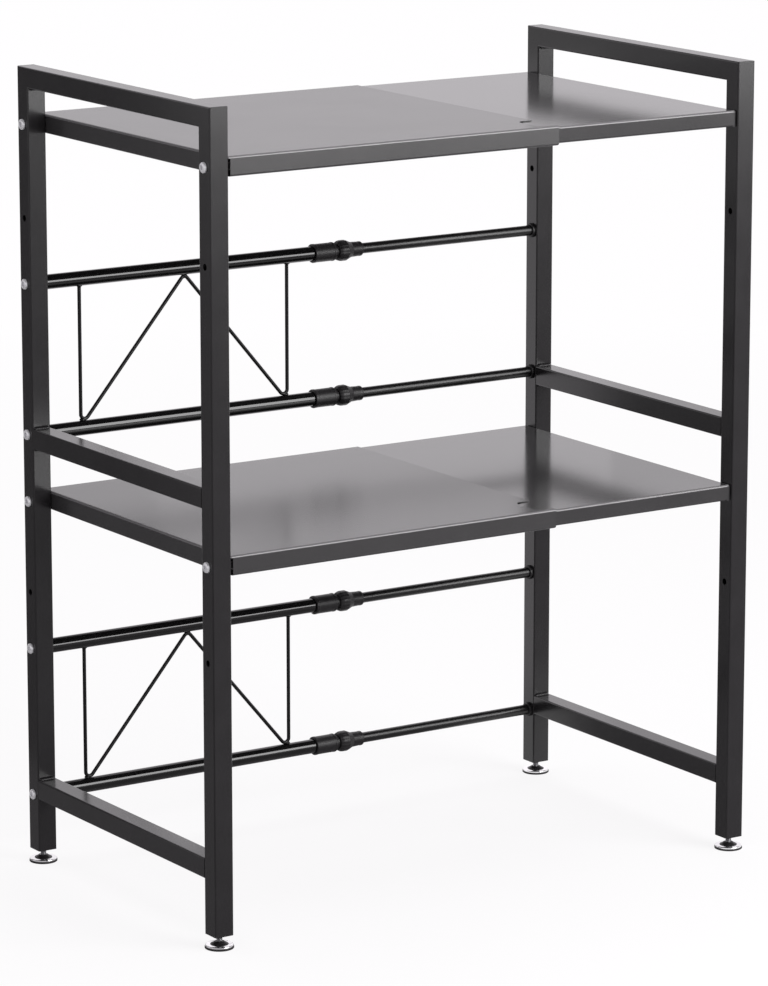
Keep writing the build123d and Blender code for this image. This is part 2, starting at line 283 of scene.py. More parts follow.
def swept(route: Array, side: Array, radius: float, segments: int) -> Array:
    """Carries a circle along a flat route, and closes both ends in a point.

    A point of the grid is the route's point, plus the radius times the cosine of the angle along
    the direction square to the route's plane, plus the radius times its sine across the route.

    Args:
        route: The route's points, one a row.
        side: The direction square to the plane of the route.
        radius: The circle's radius.
        segments: The number of points round the circle.

    Returns:
        A grid of points, one point of the route a row and one angle a column.
    """
    tangent = unit(np.gradient(route, axis=0))
    across = unit(np.cross(tangent, side))
    angle = np.linspace(0, 2 * math.pi, segments, endpoint=False)[None, :, None]
    ring = np.cos(angle) * side + np.sin(angle) * across[:, None, :]
    return capped(route[:, None, :] + radius * ring)


def capped(grid: Array) -> Array:
    """Draws each end of a grid together in the middle of its end row.

    Args:
        grid: Points, indexed by row and column.

    Returns:
        The grid with one more row at each end.
    """
    first = np.repeat(grid[:1].mean(axis=1, keepdims=True), grid.shape[1], axis=1)
    last = np.repeat(grid[-1:].mean(axis=1, keepdims=True), grid.shape[1], axis=1)
    return np.concatenate([first, grid, last])


def placed(name: str, data: bpy.types.ID) -> bpy.types.Object:
    """Makes an object in the scene.

    Args:
        name: The object's name.
        data: Its mesh, lamp or camera.

    Returns:
        The new object.
    """
    made = bpy.data.objects.new(name, data)
    bpy.context.scene.collection.objects.link(made)
    return made


class Shell:
    """Closed grids of points that become the mesh of one piece."""

    def __init__(self, name: str) -> None:
        """Starts an empty shell.

        Args:
            name: The piece's name.
        """
        self.name = name
        self.points: list[Array] = []
        self.faces: list[Array] = []
        self.count = 0

    def add(self, grid: Array, ring: bool = False) -> "Shell":
        """Adds a grid whose columns join round in a circle.

        Args:
            grid: Points, indexed by row and column.
            ring: Whether the last row joins the first one too.

        Returns:
            The shell itself.
        """
        rows, columns = grid.shape[:2]
        index = self.count + np.arange(rows * columns).reshape(rows, columns)
        beside = np.roll(index, -1, axis=1)
        above, above_beside = np.roll(index, -1, axis=0), np.roll(beside, -1, axis=0)
        quads = np.stack([index, above, above_beside, beside], axis=-1)
        self.faces.append(quads[: rows if ring else rows - 1].reshape(-1, 4))
        self.points.append(grid.reshape(-1, 3))
        self.count += rows * columns
        return self

    def piece(self, finish: "Finish", body: str, slot: Slot) -> bpy.types.Object:
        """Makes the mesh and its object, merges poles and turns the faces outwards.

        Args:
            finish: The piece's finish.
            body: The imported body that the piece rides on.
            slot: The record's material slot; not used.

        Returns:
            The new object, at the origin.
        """
        mesh = bpy.data.meshes.new(self.name)
        points, faces = np.concatenate(self.points), np.concatenate(self.faces)
        mesh.from_pydata(points.tolist(), [], faces.tolist())
        work = bmesh.new()
        work.from_mesh(mesh)
        bmesh.ops.remove_doubles(work, verts=work.verts, dist=MERGE_DISTANCE)
        bmesh.ops.recalc_face_normals(work, faces=work.faces)
        work.to_mesh(mesh)
        work.free()
        mesh.shade_smooth()
        mesh.set_sharp_from_angle(angle=SHARP_ANGLE)
        mesh.materials.append(finish.material)
        made = placed(self.name, mesh)
        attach(made, body)
        log.info("made %s with %d faces", self.name, len(mesh.polygons))
        return made


def dress(node: str, finish: "Finish") -> None:
    """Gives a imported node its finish.

    Args:
        node: The node's name.
        finish: Its finish.
    """
    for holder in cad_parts[node].material_slots:
        holder.material = finish.material
    log.info("dressed %s in %s", node, finish.material.name)


def arithmetic(operation: str, swapped: bool = False) -> Callable[..., "Socket"]:
    """Makes a method of Socket that adds one Math node.

    Args:
        operation: The Math node's operation.
        swapped: Whether the socket itself comes second.

    Returns:
        The method, which takes the other value.
    """

    def method(self: "Socket", other: "Socket | float") -> "Socket":
        """Adds the node and returns its output."""
        values = (other, self) if swapped else (self, other)
        return self.graph.add("ShaderNodeMath", {"operation": operation}, dict(enumerate(values)))

    return method


class Socket:
    """The output of a shader node. Arithmetic on it adds Math nodes to the same graph."""

    def __init__(self, graph: "Graph", output: bpy.types.NodeSocket) -> None:
        """Wraps a node's output."""
        self.graph = graph
        self.output = output

    __add__, __radd__ = arithmetic("ADD"), arithmetic("ADD", swapped=True)
    __sub__, __rsub__ = arithmetic("SUBTRACT"), arithmetic("SUBTRACT", swapped=True)
    __mul__, __rmul__ = arithmetic("MULTIPLY"), arithmetic("MULTIPLY", swapped=True)
    at_most, at_least = arithmetic("MINIMUM"), arithmetic("MAXIMUM")

    def clamped(self) -> "Socket":
        """The value, held between 0 and 1."""
        return self.at_least(0.0).at_most(1.0)


class Graph:
    """The node tree of a material or a world."""

    def __init__(self, owner: bpy.types.Material | bpy.types.World) -> None:
        """Empties a node tree.

        Args:
            owner: The material or world that the tree belongs to.
        """
        owner.use_nodes = True
        self.tree = owner.node_tree
        self.tree.nodes.clear()

    def add(
        self,
        kind: str,
        settings: dict[str, object] | None = None,
        inputs: dict[str | int, object] | None = None,
        output: str | int = 0,
    ) -> Socket:
        """Adds a node.

        Args:
            kind: The node's type.
            settings: The node's own properties, and "stops" for a ramp's positions and colours.
            inputs: The values or links of its sockets, by name or number.
            output: The output to return, by name or number.

        Returns:
            The chosen output.
        """
        node = self.tree.nodes.new(kind)
        for key, value in (settings or {}).items():
            if key == "stops":
                for element, (position, colour) in zip(node.color_ramp.elements, value):
                    element.position = position
                    element.color = (*colour, 1.0)
            else:
                setattr(node, key, value)
        for key, value in (inputs or {}).items():
            if isinstance(value, Socket):
                self.tree.links.new(value.output, node.inputs[key])
            else:
                node.inputs[key].default_value = value
        return Socket(self, node.outputs[output] if len(node.outputs) else None)

    def place(self) -> Socket:
        """The place on the object, in metres."""
        return self.add("ShaderNodeTexCoord", output="Object")

    def noise(self, vector: Socket, size: float, detail: float) -> Socket:
        """Noise from 0 to 1 whose blotches are about this size, in metres."""
        inputs = {"Vector": vector, "Scale": 1 / size, "Detail": detail, "Roughness": 0.5}
        return self.add("ShaderNodeTexNoise", inputs=inputs)

    def stretched(self, vector: Socket, scale: Colour) -> Socket:
        """The place with each of its axes multiplied, which draws a pattern out along an axis."""
        return self.add("ShaderNodeVectorMath", {"operation": "MULTIPLY"}, {0: vector, 1: scale})

    def blend(self, share: Socket, low: Colour, high: Colour) -> Socket:
        """A colour between two, by a share from 0 to 1."""
        return self.add("ShaderNodeValToRGB", {"stops": [(0.0, low), (1.0, high)]}, {"Fac": share})

    def mix(self, share: Socket, first: Socket, second: Colour) -> Socket:
        """A colour that goes from the first to the second, by a share from 0 to 1."""
        inputs = {"Factor": share, 6: first, 7: (*second, 1.0)}
        return self.add("ShaderNodeMix", {"data_type": "RGBA"}, inputs, 2)

    def upward(self, vector: Socket) -> Socket:
        """The Z of a vector."""
        return self.add("ShaderNodeSeparateXYZ", inputs={"Vector": vector}, output="Z")

    def bump(self, height: Socket, distance: float, strength: float) -> Socket:
        """A bumped normal, from a height of 0 to 1 over this distance in metres."""
        inputs = {"Height": height, "Distance": distance, "Strength": strength}
        return self.add("ShaderNodeBump", inputs=inputs)

    def emission(self, colour: Colour, strength: float) -> Socket:
        """A shader that shines in one colour."""
        inputs = {"Color": (*colour, 1.0), "Strength": strength}
        return self.add("ShaderNodeEmission", inputs=inputs)

    def end(self, shader: Socket, kind: str = "Material") -> None:
        """Ends the graph of a material or a world in a shader."""
        self.add(f"ShaderNodeOutput{kind}", inputs={"Surface": shader})

    def surface(self, **inputs: object) -> None:
        """Ends the graph in a Principled shader, with underscores for the spaces in its names."""
        named = {key.replace("_", " "): value for key, value in inputs.items()}
        self.end(self.add("ShaderNodeBsdfPrincipled", inputs=named))


def new_material(name: str) -> tuple[bpy.types.Material, Graph]:
    """Returns a new material and its emptied graph."""
    material = bpy.data.materials.new(name)
    return material, Graph(material)


@dataclass(frozen=True)
class Paint:
    """A black coat over steel: a mottled colour, an uneven gloss, a fine orange peel and waves."""

    name: str
    dark: Colour
    light: Colour
    roughness: float
    specular: float
    peel_depth: float = 0.0
    peel_size: float = 0.0012
    peel_strength: float = 0.25
    peel_gloss: float = 0.04
    mottle_size: float = 0.03
    gloss_swing: float = 0.05
    wave_size: float = 0.12
    wave_depth: float = 0.0
    # painted highlight on the folds: its colour, and how sharply it fades onto the flat faces
    fold: Colour | None = None
    fold_highlight_reach: float = 16.0

    def make(self) -> bpy.types.Material:
        """Makes the material. Where it has a fold colour, that colour is a painted highlight on the
        folds, which are the faces that neither lie flat nor stand upright.

        Returns:
            The finish as a material.
        """
        material, graph = new_material(self.name)
        place = graph.place()
        mottle = graph.noise(place, self.mottle_size, detail=3.0)
        peel = graph.noise(place, self.peel_size, detail=1.0)
        waves = graph.noise(place, self.wave_size, detail=0.0)
        gloss = (mottle - 0.5) * self.gloss_swing
        colour = graph.blend(mottle, self.dark, self.light)
        # painted highlight: the folds are lightened towards the fold colour, standing in for the
        # light the bends catch
        if self.fold is not None:
            rise = graph.upward(graph.add("ShaderNodeNewGeometry", output="Normal"))
            folded = (rise * (1 - rise) * self.fold_highlight_reach).clamped()
            colour = graph.mix(folded, colour, self.fold)
        height = peel * self.peel_depth + waves * self.wave_depth
        graph.surface(
            Base_Color=colour,
            Roughness=self.roughness + gloss + (peel - 0.5) * self.peel_gloss,
            Specular_IOR_Level=self.specular,
            Normal=graph.bump(height, 1.0, self.peel_strength),
        )
        return material


@dataclass(frozen=True)
class MouldedPlastic:
    """Injection-moulded black plastic with a fine spark-eroded grain and faint flow marks."""

    name: str = "moulded_plastic"
    roughness: float = 0.42
    specular: float = 0.35
    grain_size: float = 0.0004
    grain_depth: float = 0.00001
    grain_strength: float = 0.5
    grain_gloss: float = 0.1
    flow_size: float = 0.02
    flow_stretch: Colour = (1.0, 4.0, 4.0)
    flow_gloss: float = 0.06

    def make(self) -> bpy.types.Material:
        """Makes the material.

        Returns:
            The finish as a material.
        """
        material, graph = new_material(self.name)
        place = graph.place()
        grain = graph.noise(place, self.grain_size, detail=2.0)
        flow = graph.noise(graph.stretched(place, self.flow_stretch), self.flow_size, detail=2.0)
        gloss = (grain - 0.5) * self.grain_gloss
        graph.surface(
            Base_Color=graph.blend(flow, BLACK, SOFT_BLACK),
            Roughness=self.roughness + gloss + (flow - 0.5) * self.flow_gloss,
            Specular_IOR_Level=self.specular,
            Normal=graph.bump(grain, self.grain_depth, self.grain_strength),
        )
        return material


@dataclass(frozen=True)
class Plating:
    """Bright plated steel: a clouded metal with a little haze and fine scratches."""

    name: str
    dark: Colour
    light: Colour
    roughness: float
    haze: float
    metallic: float = 1.0
    cloud_size: float = 0.004
    scratch_size: float = 0.0003
    scratch_depth: float = 0.000004
    scratch_strength: float = 0.3

    def make(self) -> bpy.types.Material:
        """Makes the material.

        Returns:
            The finish as a material.
        """
        material, graph = new_material(self.name)
        place = graph.place()
        cloud = graph.noise(place, self.cloud_size, detail=3.0)
        scratch = graph.noise(place, self.scratch_size, detail=1.0)
        graph.surface(
            Base_Color=graph.blend(cloud, self.dark, self.light),
            Metallic=self.metallic,
            Roughness=self.roughness + cloud * self.haze,
            Normal=graph.bump(scratch, self.scratch_depth, self.scratch_strength),
        )
        return material


class Finish(Enum):
    """Every finish of the shelf, each made into a material once."""

    FRAME_COAT = Paint("satin_powder_coat", BLACK, SOFT_BLACK, 0.21, 0.45, 0.000003)
    # the trays' base greys are partly their own dark grey and partly painted sheen
    LEFT_TRAY_COAT = Paint(
        "smooth_powder_coat", TRAY_GREY_AND_SHEEN, LIGHT_TRAY_GREY_AND_SHEEN, 0.23, 0.52, 0.000001,
        # the fold colour is a painted highlight along the trays' bends
        mottle_size=0.08, gloss_swing=0.03, wave_depth=0.00003, fold=FOLD_HIGHLIGHT_GREY,
    )
    RIGHT_TRAY_COAT = replace(
        LEFT_TRAY_COAT, name="soft_powder_coat", roughness=0.15, specular=0.455, wave_depth=0.00004
    )
    # painted shade: a darker, duller coat for the left tray's recessed corner ears, so the slot at
    # each corner looks shaded
    SHADED_CORNER_COAT = Paint("painted_shade_corner_coat", DEEP_BLACK, GLOSS_BLACK, 0.5, 0.2, 0.00002)
    TUBE_ENAMEL = Paint("gloss_tube_enamel", DEEP_BLACK, GLOSS_BLACK, 0.10, 0.5)
    ROD_ENAMEL = Paint("satin_rod_enamel", DEEP_BLACK, GLOSS_BLACK, 0.30, 0.46)
    WIRE_ENAMEL = Paint("gloss_wire_enamel", DEEP_BLACK, GLOSS_BLACK, 0.30, 0.3)
    PLASTIC = MouldedPlastic()
    RUBBER = MouldedPlastic("foot_rubber", roughness=0.6)
    ZINC = Plating("bright_zinc", (0.70, 0.70, 0.72), (0.84, 0.84, 0.86), 0.34, 0.12, metallic=0.55)
    STUD_ZINC = Plating("dull_zinc", (0.30, 0.30, 0.31), (0.42, 0.42, 0.43), 0.30, 0.15)
    CHROME = Plating("chrome_plate", (0.80, 0.80, 0.81), (0.88, 0.88, 0.89), 0.08, 0.08)

    @cached_property
    def material(self) -> bpy.types.Material:
        """The finish as a material."""
        return self.value.make()


TRAY_COATS = {Side.LEFT: Finish.LEFT_TRAY_COAT, Side.RIGHT: Finish.RIGHT_TRAY_COAT}


@dataclass
class EndFrame:
    """A welded end frame of five square tubes, with its weld beads."""

    side: Side
    bead_leg: float = 0.0026
    bead_length: float = 0.0165
    bead_crown: float = 1.25
    ripple_pitch: float = 0.0016
    ripple_height: float = 0.13
    ripple_bow: float = 1.1
    steps_along: int = 90
    steps_across: int = 10

    def bead(self, corner: Array, out: Array, up: Array) -> Array:
        """Works out one fillet weld, which lies along X in the corner of two faces.

        Across the weld, a point's two distances from the corner are the leg times a power of the
        cosine and of the sine of an angle, which is a slightly crowned slope. The leg swells in
        bowed ripples along the weld, as wave crests of the absolute sine, and sinks at both ends
        as the fourth root of one less the eighth power of the distance from the middle.

        Args:
            corner: The middle of the edge where the two faces meet.
            out: The direction out of one face.
            up: The direction out of the other face.

        Returns:
            A grid of points along and round the weld.
        """
        along = np.linspace(-1, 1, self.steps_along)[:, None]
        angle = np.linspace(0, math.pi / 2, self.steps_across)[None, :]
        wave = along * self.bead_length / 2 / self.ripple_pitch * math.pi
        ripple = np.abs(np.sin(wave + self.ripple_bow * np.sin(2 * angle)))
        leg = self.bead_leg * (1 + self.ripple_height * (ripple - 1)) * (1 - along**8) ** 0.25
        root = -EMBED * np.ones_like(along)
        outward = np.concatenate([root, leg * np.cos(angle) ** self.bead_crown, root], axis=1)
        upward = np.concatenate([root, leg * np.sin(angle) ** self.bead_crown, root], axis=1)
        spread = np.repeat(along * self.bead_length / 2, outward.shape[1], axis=1)
        return capped(
            corner
            + spread[..., None] * X_AXIS
            + outward[..., None] * out
            + upward[..., None] * up
        )

    def build(self) -> None:
        """Dresses the five tubes, and lays the welds in the corners of the rails and uprights."""
        name = self.side.value
        for tube in ("front_upright", "rear_upright", "top_rail", "guard_rail", "bottom_rail"):
            dress(f"{name}_{tube}", Finish.FRAME_COAT)
        welds = Shell(f"{name}_end_welds")
        for rail in ("guard_rail", "bottom_rail", "top_rail"):
            low, high = node_box(f"{name}_{rail}")
            middle = (low[0] + high[0]) / 2
            for end in End:
                upright_low, upright_high = node_box(f"{name}_{end.value}_upright")
                joint = upright_high[1] if end is End.FRONT else upright_low[1]
                out = -end.sign * Y_AXIS
                welds.add(self.bead(np.array([middle, joint, low[2]]), out, -Z_AXIS))
                if rail != "top_rail":
                    welds.add(self.bead(np.array([middle, joint, high[2]]), out, Z_AXIS))
        welds.piece(Finish.FRAME_COAT, self.side.body, Slot.FRAME)


@dataclass
class Board:
    """A board of two folded trays, the left one over the right one."""

    name: str
    sheet: float = 0.0008
    bend_radius: float = 0.002
    corner_relief: float = 0.0033
    nut_clearance: float = 0.0037
    flush_inset: float = 0.00005
    tab_length: float = 0.0070
    tab_sheet: float = 0.0007
    tab_corner: float = 0.0006
    tab_steps: int = 4

    def tab(self, corner: Array, inward: float, length: float, height: float) -> Array:
        """Works out one ear of a folded corner, which closes a tray's corner relief.

        A rounded outline in X and Z is carried along Y through the sheet, and drawn together at
        both faces.

        Args:
            corner: The ear's lowest corner, at the end flange and on its outer face.
            inward: The direction along X into the tray.
            length: The ear's length along X.
            height: The ear's height.

        Returns:
            A grid of points.
        """
        corners = [(0, 0), (length, 0), (length, height), (0, height)]
        outline = rounded(corners, self.tab_corner, self.tab_steps, closed=True)
        depth = math.copysign(1.0, -corner[1]) * np.array([0, self.tab_sheet])[:, None]
        places = np.broadcast_arrays(inward * outline[:, 0], depth, outline[:, 1])
        return capped(corner + np.stack(places, axis=-1))

    def tabs(self, side: Side) -> None:
        """Makes the ears of one tray's two folded corners. The left tray's lie behind its corners,
        above and below each nut, and the right tray's are flush with its long flanges.

        Args:
            side: The tray's side.
        """
        low, high = node_box(f"{self.name}_{side.value}_tray")
        bolt_height = centre(f"{self.name}_left_tray")[2]
        edge = high[0] if side is Side.RIGHT else low[0]
        start = edge - side.sign * self.sheet / 2
        upper = high[2] - self.bend_radius / 2
        if side is Side.RIGHT:
            coat, inset = TRAY_COATS[side], self.flush_inset
            length = self.corner_relief - self.sheet / 2 + EMBED
            spans = [(low[2], upper)]
        else:
            # painted shade: the left tray's ears sit behind the corner slot and wear the darker
            # corner coat
            coat, inset, length = Finish.SHADED_CORNER_COAT, self.corner_relief, self.tab_length
            clearance = self.nut_clearance
            spans = [(low[2], bolt_height - clearance), (bolt_height + clearance, upper)]
        shell = Shell(f"{self.name}_{side.value}_tray_corners")
        for y in (low[1] + inset, high[1] - inset):
            for bottom, top in spans:
                shell.add(self.tab(np.array([start, y, bottom]), -side.sign, length, top - bottom))
        shell.piece(coat, side.body, Slot.BOARD)

    def build(self) -> None:
        """Dresses both trays and closes their corners."""
        for side in Side:
            dress(f"{self.name}_{side.value}_tray", TRAY_COATS[side])
            self.tabs(side)


@dataclass
class BackBar:
    """A back bar: a tube, a rod that slides in it, and a collar whose nut locks them."""

    name: str
    segments: int = 72
    wall: float = 0.0008
    edge: float = 0.0003
    pipe_steps: int = 3
    collar_steps: int = 4
    nut_steps: int = 5
    collar_lip: float = 0.003
    collar_lip_rise: float = 0.00025
    collar_body_length: float = 0.0255
    collar_chamfer: float = 0.0008
    collar_taper: float = 1.4
    collar_bore: float = 0.00745
    socket_depth: float = 0.0215
    spigot_radius: float = 0.007
    rod_passage: float = 0.0057
    thread_radius: float = 0.00708
    thread_length: float = 0.0117
    grip_length: float = 0.0108
    grip_crown: float = 0.0016
    grip_crown_share: float = 0.32
    grip_rim: float = 0.0006
    grip_roundings: tuple[float, ...] = (0.0015, 0.008, 0.002, 0.004)
    cone_length: float = 0.006
    nose_radius: float = 0.0078
    nose_rim: float = 0.0018
    nose_rim_rise: float = 0.0002
    nose_waist: float = 0.0074
    nose_waist_length: float = 0.002
    mouth_wall: float = 0.0025
    cavity_radius: float = 0.0069
    flute_count: int = 12
    flute_depth: float = 0.00022
    flute_share: float = 0.46
    points_a_flute: int = 14

    def pipe(self, part: str, finish: Finish, body: str) -> None:
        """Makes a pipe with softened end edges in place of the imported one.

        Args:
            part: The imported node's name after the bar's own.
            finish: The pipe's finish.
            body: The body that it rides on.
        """
        node = f"{self.name}_{part}"
        pipe = Round.measure(node, 0)
        length, radius, bore = pipe.length, pipe.radius, pipe.radius - self.wall
        corners = [(0, radius), (length, radius), (length, bore), (0, bore)]
        grid = turned(held(corners, self.edge, self.pipe_steps), pipe.line, self.segments)
        made = Shell(f"{node}_enamelled").add(grid, ring=True).piece(finish, body, Slot.BAR)
        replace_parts(made, node)

    def collar(self) -> None:
        """Makes the collar: a lip at each end, a plain body, and the spigot inside the nut."""
        node = f"{self.name}_collar"
        collar = Round.measure(node, 0)
        length, radius = collar.length, collar.radius
        lip, rise, chamfer, end = (
            self.collar_lip, self.collar_lip_rise, self.collar_chamfer, self.collar_body_length
        )
        corners = [
            (0, self.collar_bore),
            (0, radius),
            (lip, radius),
            (lip + rise, radius - rise),
            (end - lip, radius - rise),
            (end - lip + rise, radius),
            (end - chamfer, radius),
            (end, radius - self.collar_taper * chamfer),
            (end, self.spigot_radius),
            (length, self.spigot_radius),
            (length, self.rod_passage),
            (self.socket_depth, self.rod_passage),
            (self.socket_depth, self.collar_bore),
        ]
        radii = np.full(len(corners), self.edge)
        radii[[1, 6]] = 2 * self.edge
        grid = turned(held(corners, radii, self.collar_steps), collar.line, self.segments)
        made = Shell(f"{node}_moulded").add(grid, ring=True)
        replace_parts(made.piece(Finish.PLASTIC, Side.LEFT.body, Slot.PLASTIC), node)

    def nut(self) -> None:
        """Makes the nut: a fluted, crowned grip, a cone, and a nose that ends in a rim.

        The grip's radius loses a rounded flute, the depth times the square root of one less the
        square of the angle from the flute's middle, over the flute's half width. The flutes fade
        out along the cone.
        """
        node = f"{self.name}_nut"
        nut = Round.measure(node, 0)
        length, radius = nut.length, nut.radius
        cone_end = self.grip_length + self.cone_length
        rim, mouth = length - self.nose_rim, length - self.mouth_wall
        corners = [
            (0, self.thread_radius),
            (0, radius - self.grip_crown),
            (self.grip_length * self.grip_crown_share, radius),
            (self.grip_length - self.grip_rim, radius),
            (cone_end, self.nose_radius),
            (rim - self.nose_waist_length, self.nose_waist),
            (rim, self.nose_waist + self.nose_rim_rise),
            (length, self.nose_waist),
            (length, self.rod_passage),
            (mouth, self.rod_passage),
            (mouth, self.cavity_radius),
            (self.thread_length, self.cavity_radius),
            (self.thread_length, self.thread_radius),
        ]
        radii = np.full(len(corners), self.edge)
        radii[1:5] = self.grip_roundings
        turn = 2 * math.pi / self.flute_count
        half_width = self.flute_share * turn / 2

        def fluted(along: Array, angle: Array, old: Array) -> Array:
            """Cuts the flutes into the outer surface.

            Args:
                along: The distances along the nut.
                angle: The angles round it.
                old: The radii without flutes.

            Returns:
                The radii with flutes.
            """
            away = np.abs(np.mod(angle + turn / 2, turn) - turn / 2) / half_width
            scoop = np.sqrt(np.clip(1 - away**2, 0, 1))
            fade = np.clip((cone_end - along) / self.cone_length, 0, 1)
            return np.where(old > self.nose_radius, old - self.flute_depth * scoop * fade, old)

        columns = self.flute_count * self.points_a_flute
        grid = turned(held(corners, radii, self.nut_steps), nut.line, columns, fluted)
        made = Shell(f"{node}_moulded").add(grid, ring=True)
        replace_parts(made.piece(Finish.PLASTIC, node, Slot.PLASTIC), node)

    def build(self) -> None:
        """Makes the bar's pipes, collar and nut, and dresses its hidden collet."""
        self.pipe("outer_tube", Finish.TUBE_ENAMEL, Side.LEFT.body)
        self.pipe("inner_rod", Finish.ROD_ENAMEL, Side.RIGHT.body)
        self.collar()
        self.nut()
        dress(f"{self.name}_collet", Finish.PLASTIC)


@dataclass
class EndRings:
    """The black rings where the rods meet the right rear upright."""

    segments: int = 72
    bore: float = 0.00545
    edge: float = 0.0002
    mouth_edge: float = 0.0008
    steps: int = 4

    def build(self) -> None:
        """Makes one ring on each bar, as one piece."""
        low, high = node_box("rod_end_rings")
        radius, length = (high[1] - low[1]) / 2, high[0] - low[0]
        corners = [(0, self.bore), (0, radius), (length, radius), (length, self.bore)]
        radii = (self.edge, self.mouth_edge, self.edge, self.edge)
        outline = held(corners, radii, self.steps)
        rings = Shell("rod_end_rings_moulded")
        for bar in BAR_NAMES:
            start = np.array([low[0], *centre(f"{bar}_outer_tube")[1:]])
            rings.add(turned(outline, Line(start, X_AXIS, Z_AXIS), self.segments), ring=True)
        made = rings.piece(Finish.PLASTIC, Side.RIGHT.body, Slot.PLASTIC)
        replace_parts(made, "rod_end_rings")


@dataclass
class WireGuard:
    """A zigzag of one bent wire, welded between the thick tubes of two bars."""

    name: str
    low_bar: str
    high_bar: str
    bend_radius: float = 0.0045
    bend_steps: int = 18
    segments: int = 24
    flare_radius: float = 0.0032
    flare_height: float = 0.0022
    flare_root: float = 0.0008
    flare_root_share: float = 0.8
    flare_steps: int = 12
    lump_height: float = 0.12
    lump_count: int = 3
    lump_start: float = 1.0
    tack_length: float = 0.0034
    tack_height: float = 0.0016
    tack_width: float = 0.0026
    tack_root: float = 0.0006
    tack_inset: float = 0.45
    tack_steps: int = 14

    def __post_init__(self) -> None:
        """Reads the wire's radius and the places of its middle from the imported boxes."""
        low, high = node_box(self.name)
        self.radius, self.y = (high[1] - low[1]) / 2, (low[1] + high[1]) / 2
        self.left, self.right = low[0] + self.radius, high[0] - self.radius
        self.peak = (self.left + self.right) / 2
        self.bottom = node_box(f"{self.low_bar}_outer_tube")[1][2] + self.radius
        self.top = node_box(f"{self.high_bar}_outer_tube")[0][2] - self.radius

    def route(self) -> Array:
        """Works out the wire's middle line.

        It runs down beside the left end, up to the peak, down again and up beside the right end. A
        slanted run touches the bend below it on one side and the bend above it on the other, so it
        is steeper than the line between the bends' middles by the angle whose sine is twice the
        bend radius over the distance between them.

        Returns:
            The route's points, one a row.
        """
        bend, y = self.bend_radius, self.y
        run_x = self.peak - self.left - bend
        run_z = self.top - self.bottom - 2 * bend
        slope = math.atan2(run_z, run_x) + math.asin(2 * bend / math.hypot(run_x, run_z))
        touch_x = self.left + bend * (1 + math.sin(slope))
        touch_z = self.bottom + bend * (1 - math.cos(slope))
        low_corner = touch_z - (touch_x - self.left) * math.tan(slope)
        high_corner = touch_z + (self.peak - touch_x) * math.tan(slope)
        start = self.top + self.radius + EMBED
        corners = [
            (self.left, y, start), (self.left, y, low_corner), (self.peak, y, high_corner),
            (self.right, y, low_corner), (self.right, y, start),
        ]
        return rounded(corners, bend, self.bend_steps, closed=False)

    def flare(self, x: float) -> Array:
        """Works out the weld round a wire's end: its radius shrinks from the flare's to the wire's
        as the cube of the share of the way down, and swells a little in lumps round it.

        Args:
            x: The place of the wire's end along X.

        Returns:
            A grid of points.
        """
        wire = self.radius
        share = np.linspace(0, 1, self.flare_steps)
        radius = wire + (self.flare_radius - wire) * (1 - share) ** 3
        root = [(-self.flare_root, self.flare_radius * self.flare_root_share)]
        outline = np.concatenate([root, np.stack([share * self.flare_height, radius], axis=1)])
        line = Line(np.array([x, self.y, self.top + wire]), -Z_AXIS, X_AXIS)

        def lumpy(along: Array, angle: Array, old: Array) -> Array:
            """Makes the flare a little uneven round the wire."""
            lumps = np.sin(self.lump_count * angle + self.lump_start)
            return old + (old - wire) * self.lump_height * lumps

        return capped(turned(outline, line, self.segments, lumpy))

    def tack(self, x: float, z: float) -> Array:
        """Works out a tack weld between a bend and a tube, an egg drawn out along the tube: its
        points are its three half lengths times the sines and cosines of two angles.

        Args:
            x: The place of its middle along X.
            z: The height of its middle.

        Returns:
            A grid of points.
        """
        across = np.linspace(0, math.pi, self.tack_steps)[:, None]
        turn = np.linspace(0, 2 * math.pi, self.segments, endpoint=False)[None, :]
        wide = np.sin(across)
        ball = np.broadcast_arrays(np.cos(across), wide * np.cos(turn), wide * np.sin(turn))
        halves = (self.tack_length, self.tack_width, self.tack_height)
        return (x, self.y, z) + np.stack(ball, axis=-1) * halves

    def build(self) -> None:
        """Makes the wire and its welds. The tacks are lifted clear of the rods in the tubes."""
        wire = Shell(f"{self.name}_bent")
        wire.add(swept(self.route(), Y_AXIS, self.radius, self.segments))
        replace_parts(wire.piece(Finish.WIRE_ENAMEL, Side.LEFT.body, Slot.WIRE), self.name)
        welds = Shell(f"{self.name}_welds")
        for x in (self.left, self.right):
            welds.add(self.flare(x))
        lift = self.tack_height - self.tack_root - self.radius
        foot, crest = self.bottom + lift, self.top - lift
        inset = self.bend_radius * self.tack_inset
        for x, z in ((self.left + inset, foot), (self.peak, crest), (self.right - inset, foot)):
            welds.add(self.tack(x, z))
        welds.piece(Finish.WIRE_ENAMEL, Side.LEFT.body, Slot.WIRE)


@dataclass(frozen=True)
class Thread:
    """A screw thread cut into a turned surface."""

    pitch: float = 0.001
    depth: float = 0.0005
    rows_a_turn: int = 9
    flank: float = 1.25
    crest: float = 0.125

    def rows(self, start: float, end: float) -> Array:
        """Returns the distances along the screw that the thread needs."""
        return np.linspace(start, end, int((end - start) / self.pitch * self.rows_a_turn) + 1)

    def cut(self, along: Array, angle: Array, radius: Array) -> Array:
        """Cuts the thread: the radius loses the thread's depth times a triangle wave that climbs
        one pitch in each turn, with its crests and roots cut flat.

        Args:
            along: The distances along the screw.
            angle: The angles round it.
            radius: The radii without the thread.

        Returns:
            The radii with the thread.
        """
        turns = along / self.pitch - angle / (2 * math.pi)
        wave = np.abs(2 * np.mod(turns, 1) - 1)
        return radius - self.depth * np.clip(self.flank * wave - self.crest, 0, 1)


